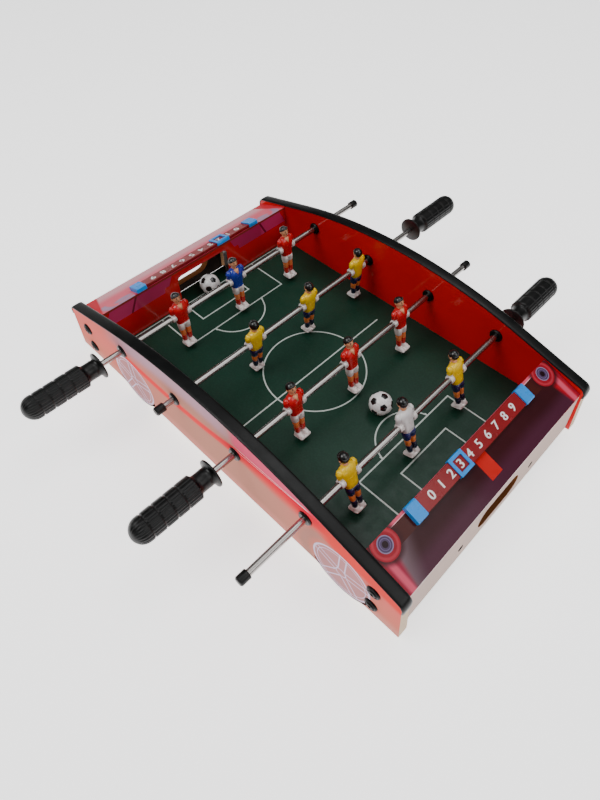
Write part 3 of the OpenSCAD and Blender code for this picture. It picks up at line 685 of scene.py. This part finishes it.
def make_players():
    red = team("red", "#d3161b", "#efe7e4", "#c9201a", "#e8824a")
    yellow = team("yellow", "#ffd002", "#181d4a", "#141633", "#d97a3c")
    blue = team("blue", "#2137a8", "#efe7e4", "#c9201a", "#e8824a")
    white = team("white", "#eeeae9", "#1b2160", "#141633", "#d97a3c")
    for i in range(4):
        for k, letter in ((-1, "a"), (0, "b"), (1, "c")):
            me = (red, yellow, red, yellow)[i]
            slot = ("player_red", "player_yellow")[i % 2]
            if k == 0 and i in (0, 3):
                me, slot = (blue, "player_blue") if i == 0 else (white, "player_white")
            y = REST[i] + HANDLE_SIDE[i] * PLAYER_SHIFT + k * PLAYER_GAP
            m = (Matrix.Translation(Vector((ROD_X[i], y, ROD_Z)) * MM)
                 @ Matrix.Rotation(math.radians(LEAN[i]), 4, "Y")
                 @ Matrix.Rotation(0 if FACING[i] > 0 else math.pi, 4, "Z"))
            add_mesh("figure_%d%s" % (i + 1, letter), me, "rod_%d_turner" % (i + 1),
                     ("player_%d%s" % (i + 1, letter),), place=m)


# ---------------------------------------------------------------- handles

# collar of the grip: distance from its flange, radius
COLLAR = [(0, 3.3), (0, 14.9), (0.5, 15.4), (1.8, 15.4), (2.3, 14.9), (2.9, 11.2), (4.5, 10.1),
          (7, 10.0), (8, 10.3), (9, 10.0), (16, 10.0), (18.5, 10.2), (19.5, 11.4)]
RIBS_FROM = 19.5
CUTS = [23.0 + 12.7 * k for k in range(1, 5)]       # where the four cuts go round the grip
DOME_FROM, DOME_LEN = 78.0, 13
GRIP_R = 13.45
GROOVE_DEPTH, RIBS_ROUND = 1.0, 24
GRIP_SIDES = 144


def step(v, a, b):
    t = max(0.0, min(1.0, (v - a) / (b - a)))
    return t * t * (3 - 2 * t)


def grip_radius(t, phi, dome_deg):
    """Radius of the ribbed part: lengthwise ribs, four cuts round it and two plain lanes."""
    env = GRIP_R if t < DOME_FROM else GRIP_R * math.cos(math.radians(dome_deg))
    env = min(env, 11.6 + (t - RIBS_FROM) * 1.3)
    lane = abs(((phi / math.pi) % 1.0) - 0.5)
    if lane < 0.14:
        groove = step(0.14 - lane, 0.0, 0.016)
    else:
        f = abs(((phi / (2 * math.pi) * RIBS_ROUND) % 1.0) - 0.5)
        groove = 1 - step(f, 0.3, 0.42)
    cut = min(abs(t - c) for c in CUTS)
    top = min(groove, step(cut, 0.35, 1.0))
    fade = step(DOME_FROM + DOME_LEN - t, 1.0, 7.0)
    return env - GROOVE_DEPTH * (1 - top) * fade


def handle_mesh(mat):
    """Ribbed grip along +Y, from its flange at 0 to its domed end."""
    profile = list(COLLAR)
    t = 20.2
    while t < DOME_FROM:
        profile.append((t, None))
        t += 0.55
    profile += [(DOME_FROM + DOME_LEN * math.sin(math.radians(a)), a) for a in range(2, 89, 4)]
    rings = []
    bm = bmesh.new()
    for t, given in profile:
        pts = []
        for i in range(GRIP_SIDES):
            phi = 2 * math.pi * i / GRIP_SIDES
            r = given if t <= RIBS_FROM else grip_radius(t, phi, given)
            pts.append((r * math.cos(phi), t, -r * math.sin(phi)))
        rings.append(ring(bm, pts))
    skin(bm, rings)
    bmesh.ops.recalc_face_normals(bm, faces=bm.faces)
    return to_mesh("handle_grip", bm, [mat])


def make_handles():
    mat = plain("grip_black", "#070707", 0.36, spread=0.25, scale=45, bump=0.25, grain=1500,
                shine=0.3)
    me = handle_mesh(mat)
    for i in range(4):
        side = HANDLE_SIDE[i]
        y = REST[i] + side * GRIP_START
        m = Matrix.Translation(Vector((ROD_X[i], y, ROD_Z)) * MM)
        if side < 0:
            m = m @ Matrix.Rotation(math.pi, 4, "Z")
        m = m @ Matrix.Rotation(math.radians(GRIP_TURN[i]), 4, "Y")
        add_mesh("grip_%d" % (i + 1), me, "rod_%d_turner" % (i + 1),
                 ("handle_%d" % (i + 1),), place=m)


# ---------------------------------------------------------------- edge trims

CROWN_Z, CROWN_R, CROWN_DEG = 124.5, 650.0, 15.0    # top of the arch, its radius and half angle
TRIM_HALF, TRIM_CORNER_R, TRIM_DROP = 255.0, 10.0, 4
TRIM_Y = 154.0
# the trim's crown across the panel: distance from its middle, height over the arch
CROWN = [(-6.0, -2.2), (-6.6, -2.0), (-6.7, -1.4), (-6.5, -0.8), (-5.6, -0.35), (-3.5, -0.1), (0, 0),
         (3.5, -0.1), (5.6, -0.35), (6.5, -0.8), (6.7, -1.4), (6.6, -2.0), (6.0, -2.2)]


def arc(x, z, r, a, b, n):
    """Steps from a to b degrees round a centre, each with the centre and radius."""
    return [(x, z, r, a + (b - a) * i / n) for i in range(n + 1)]


def upper_edge(g):
    """The panel's arched edge and rounded corners, as (x, z), moved out by g."""
    R, deg, half, cr = CROWN_R, CROWN_DEG, TRIM_HALF, TRIM_CORNER_R
    az, fx = CROWN_Z - R, R * math.sin(math.radians(deg))
    fz = az + R * math.cos(math.radians(deg))
    cx = half - cr
    cz = fz - (cx - fx) * math.tan(math.radians(deg)) - cr / math.cos(math.radians(deg))
    path = arc(cx, cz, cr, 90, deg, 10) + arc(0, az, R, deg, -deg, 96)
    path += arc(-cx, cz, cr, -deg, -90, 10)
    pts = [(x + (r + g) * math.sin(math.radians(a)), z + (r + g) * math.cos(math.radians(a)))
           for x, z, r, a in path]
    return [(half + g, cz - TRIM_DROP)] + pts + [(-half - g, cz - TRIM_DROP)]


def make_trims():
    mat = plain("trim_black", "#070808", 0.36, spread=0.2, scale=25, bump=0.12, shine=0.25)
    edges = {g: upper_edge(g) for _, g in CROWN}
    for side, name in ((-1, "near"), (1, "far")):
        bm = bmesh.new()
        rings = []
        for i in range(len(edges[0])):
            rings.append(ring(bm, [(edges[g][i][0], side * TRIM_Y + y, edges[g][i][1])
                                   for y, g in CROWN]))
        skin(bm, rings)
        new_object("trim_crown_" + name, bm, [mat], "table", ("edge_trim_" + name,))


# ---------------------------------------------------------------- balls

BALL_R, SEAM_DEPTH, SEAM_FROM = 13.4, 0.45, 0.86
PATCH_STEPS = 8


def ball_patches():
    """The corners of the twelve five-sided and twenty six-sided patches, each with its slot."""
    g = (1 + 5 ** 0.5) / 2
    ico = [Vector(v).normalized() for s in (-1, 1) for t in (-g, g)
           for v in ((0, s, t), (s, t, 0), (t, 0, s))]
    near = [[j for j in range(12) if 0.1 < (ico[i] - ico[j]).length < 1.2] for i in range(12)]
    corner = {(i, j): (ico[i] * 2 + ico[j]) / 3 for i in range(12) for j in near[i]}
    faces = [([corner[i, j] for j in near[i]], 0) for i in range(12)]
    for i in range(12):
        for j in near[i]:
            for k in near[i]:
                if i < j < k and k in near[j]:
                    round_it = ((i, j), (j, i), (j, k), (k, j), (k, i), (i, k))
                    faces.append(([corner[pair] for pair in round_it], 1))
    return faces


def soccer_ball(name, place, body, cad, turn):
    """Black five-sided and white six-sided patches with sunk seams."""
    bm = bmesh.new()
    R, n = BALL_R, PATCH_STEPS
    for pts, mat in ball_patches():
        mid = sum(pts, Vector()) / len(pts)
        ref = (pts[0] - mid).normalized()
        side = mid.normalized().cross(ref)
        pts = sorted(pts, key=lambda p: math.atan2((p - mid).dot(side), (p - mid).dot(ref)))
        centre = bm.verts.new(mid.normalized() * R * MM)
        m = len(pts)
        rings = []
        for k in range(1, n + 1):
            f = (k / n) ** 0.75
            row = []
            for a in range(m):
                for b in range(n):
                    edge = pts[a].lerp(pts[(a + 1) % m], b / n)
                    d = mid.lerp(edge, f)
                    sink = SEAM_DEPTH * max(0.0, (f - SEAM_FROM) / (1 - SEAM_FROM)) ** 2
                    row.append(bm.verts.new(d.normalized() * (R - sink) * MM))
            rings.append(row)
        count = m * n
        for i in range(count):
            f = bm.faces.new((centre, rings[0][i], rings[0][(i + 1) % count]))
            f.material_index = mat
        for ra, rb in zip(rings, rings[1:]):
            for i in range(count):
                f = bm.faces.new((ra[i], rb[i], rb[(i + 1) % count], ra[(i + 1) % count]))
                f.material_index = mat
    bmesh.ops.remove_doubles(bm, verts=bm.verts, dist=1e-6)
    m = Matrix.Translation(Vector(place) * MM) @ Matrix.Rotation(turn, 4, Vector((0.4, 0.5, 0.8)))
    mats = [SHARED["ball_black"], SHARED["ball_white"]]
    new_object(name, bm, mats, body, (cad,), place=m)


# ---------------------------------------------------------------- score digits

DIGIT_SIZE, DIGIT_RISE = 13.0, 0.08
DIGIT_GAP = 15.0
DIGIT_U, DIGIT_H = 8.7, 4.2                     # down the deck's slope, and over the deck
DIGIT_BOLD = (-0.35, 0.0, 0.35)                 # three copies side by side thicken each digit


def make_digits():
    for turned, name in ((False, "right"), (True, "left")):
        parts = []
        for k in range(10):
            c = bpy.data.curves.new("digit", "FONT")
            c.body = str(k)
            c.size = DIGIT_SIZE * MM
            c.extrude = DIGIT_RISE * MM
            c.align_x, c.align_y = "CENTER", "CENTER"
            o = bpy.data.objects.new("digit", c)
            bpy.context.scene.collection.objects.link(o)
            bpy.context.view_layer.update()
            depsgraph = bpy.context.evaluated_depsgraph_get()
            me = bpy.data.meshes.new_from_object(o.evaluated_get(depsgraph))
            xs = [v.co.x for v in me.vertices]
            ys = [v.co.y for v in me.vertices]
            mid = Vector(((min(xs) + max(xs)) / 2, (min(ys) + max(ys)) / 2, 0))
            deck = (Matrix.Rotation(math.pi if turned else 0, 4, "Z")
                    @ Matrix.Translation(Vector((DECK_EDGE_X, 0, DECK_EDGE_Z)) * MM)
                    @ Matrix.Rotation(DECK_TILT, 4, "Y"))
            local = (Matrix.Translation(Vector((DIGIT_U, (k - 4.5) * DIGIT_GAP, DIGIT_H)) * MM)
                     @ Matrix.Rotation(math.pi / 2, 4, "Z") @ Matrix.Translation(-mid))
            for shift in DIGIT_BOLD:
                copy = me.copy()
                copy.transform(deck @ local @ Matrix.Translation((shift * MM, 0, shift * 0.04 * MM)))
                parts.append(copy)
            bpy.data.objects.remove(o)
        bm = bmesh.new()
        for me in parts:
            bm.from_mesh(me)
        new_object("score_digits_" + name, bm, [SHARED["digit"]], "table", (), False)


# ---------------------------------------------------------------- dressing the CAD nodes

def rounded(node, width):
    """Softens a CAD node's sharp edges."""
    o = NODES[node]
    weld = o.modifiers.new("weld", "WELD")
    weld.merge_threshold = 0.00001
    bevel = o.modifiers.new("soft_edges", "BEVEL")
    bevel.width, bevel.segments = width * MM, 2
    bevel.limit_method, bevel.angle_limit = "ANGLE", math.radians(35)
    bevel.use_clamp_overlap = True


def dress(names, mat):
    for n in names:
        o = NODES[n]
        o.data.materials.clear()
        o.data.materials.append(mat)


def each_rod(pattern):
    return [pattern % i for i in range(1, 5)]


SHARED = {}                                     # materials that several pieces use
RAIL_PARTS = ["rail_caps_left", "rail_caps_right", "score_marker_left", "score_marker_right"]


def make_floor():
    s = Shader("pale_floor", 0.9)
    s.color(s.mix(s.noise(3.0, 2.0), grey(0.9), grey(0.93)))
    s.set("Emission Color", grey(1))
    s.set("Emission Strength", FLOOR_GLOW)
    bm = bmesh.new()
    bmesh.ops.create_grid(bm, x_segments=1, y_segments=1, size=FLOOR_HALF)
    floor = bpy.data.objects.new("floor", to_mesh("floor", bm, [s.mat]))
    floor.location.z = -FLOOR_DROP
    bpy.context.scene.collection.objects.link(floor)


def dress_all():
    SHARED.update(
        skin=plain("skin", "#eda77c", 0.34, 0.2, spread=0.06),
        hair=plain("hair", "#0d0b0b", 0.3, 0.3, spread=0.3),
        white=plain("white_parts", "#ece4e1", 0.3, 0.3, spread=0.05),
        dark=plain("face_lines", "#3a1a14", 0.5),
        ball_black=plain("ball_black", "#121212", 0.25, 0.4, spread=0.2),
        ball_white=plain("ball_white", "#ecebea", 0.25, 0.4, spread=0.04),
        digit=plain("digit_white", "#f3eeee", 0.35, 0.2, spread=0.03))

    dress(["playing_field"], field_material())
    dress(["side_panel_near"], panel_material(False))
    dress(["side_panel_far"], panel_material(True))
    dress(["score_deck_right"], near_deck_material())
    dress(["score_deck_left"], far_deck_material())
    dress(["goal_wall_right"], goal_wall_material(False))
    dress(["goal_wall_left"], goal_wall_material(True))
    dress(["end_board_left", "end_board_right"], end_board_material())
    dress(["corner_blocks", "pocket_sides_left", "pocket_sides_right"], board_material())
    dress(["score_rail_left", "score_rail_right"], rail_material())
    dress(RAIL_PARTS,
          plain("sky_blue_plastic", "#1f8fe6", 0.3, 0.1, spread=0.07, shine=0.35))
    black = plain("black_moulding", "#050505", 0.38, spread=0.2, scale=90, shine=0.3)
    dress(each_rod("bushings_%d") + ["bushing_collars"], black)
    dress(each_rod("rod_cap_%d"), black)
    dress(each_rod("rod_%d"), chrome_material())
    dress(each_rod("player_pins_%d"), plain("pin_steel", "#9a9b9e", 0.3, metal=1.0))
    dress(["end_screws"], plain("screw_black", "#040404", 0.6, spread=0.2, shine=0.02))
    dress(["panel_bolts", "cup_washers"],
          plain("black_hardware", "#040404", 0.4, spread=0.25, shine=0.15))

    for n in RAIL_PARTS:
        rounded(n, 0.35)
    for n in each_rod("rod_cap_%d") + ["goal_wall_left", "goal_wall_right",
                                       "end_board_left", "end_board_right"]:
        rounded(n, 0.3)


def main():
    make_camera()
    make_lights()
    make_floor()
    dress_all()
    make_trims()
    make_players()
    make_handles()
    soccer_ball("ball_on_field", (94.5, 6.7, 46.8), "lane_ball", "ball_lane", 0.9)
    soccer_ball("ball_in_goal", (-194.0, 1.0, 46.8), "goal_ball", "ball_goal", 2.1)
    make_digits()


main()
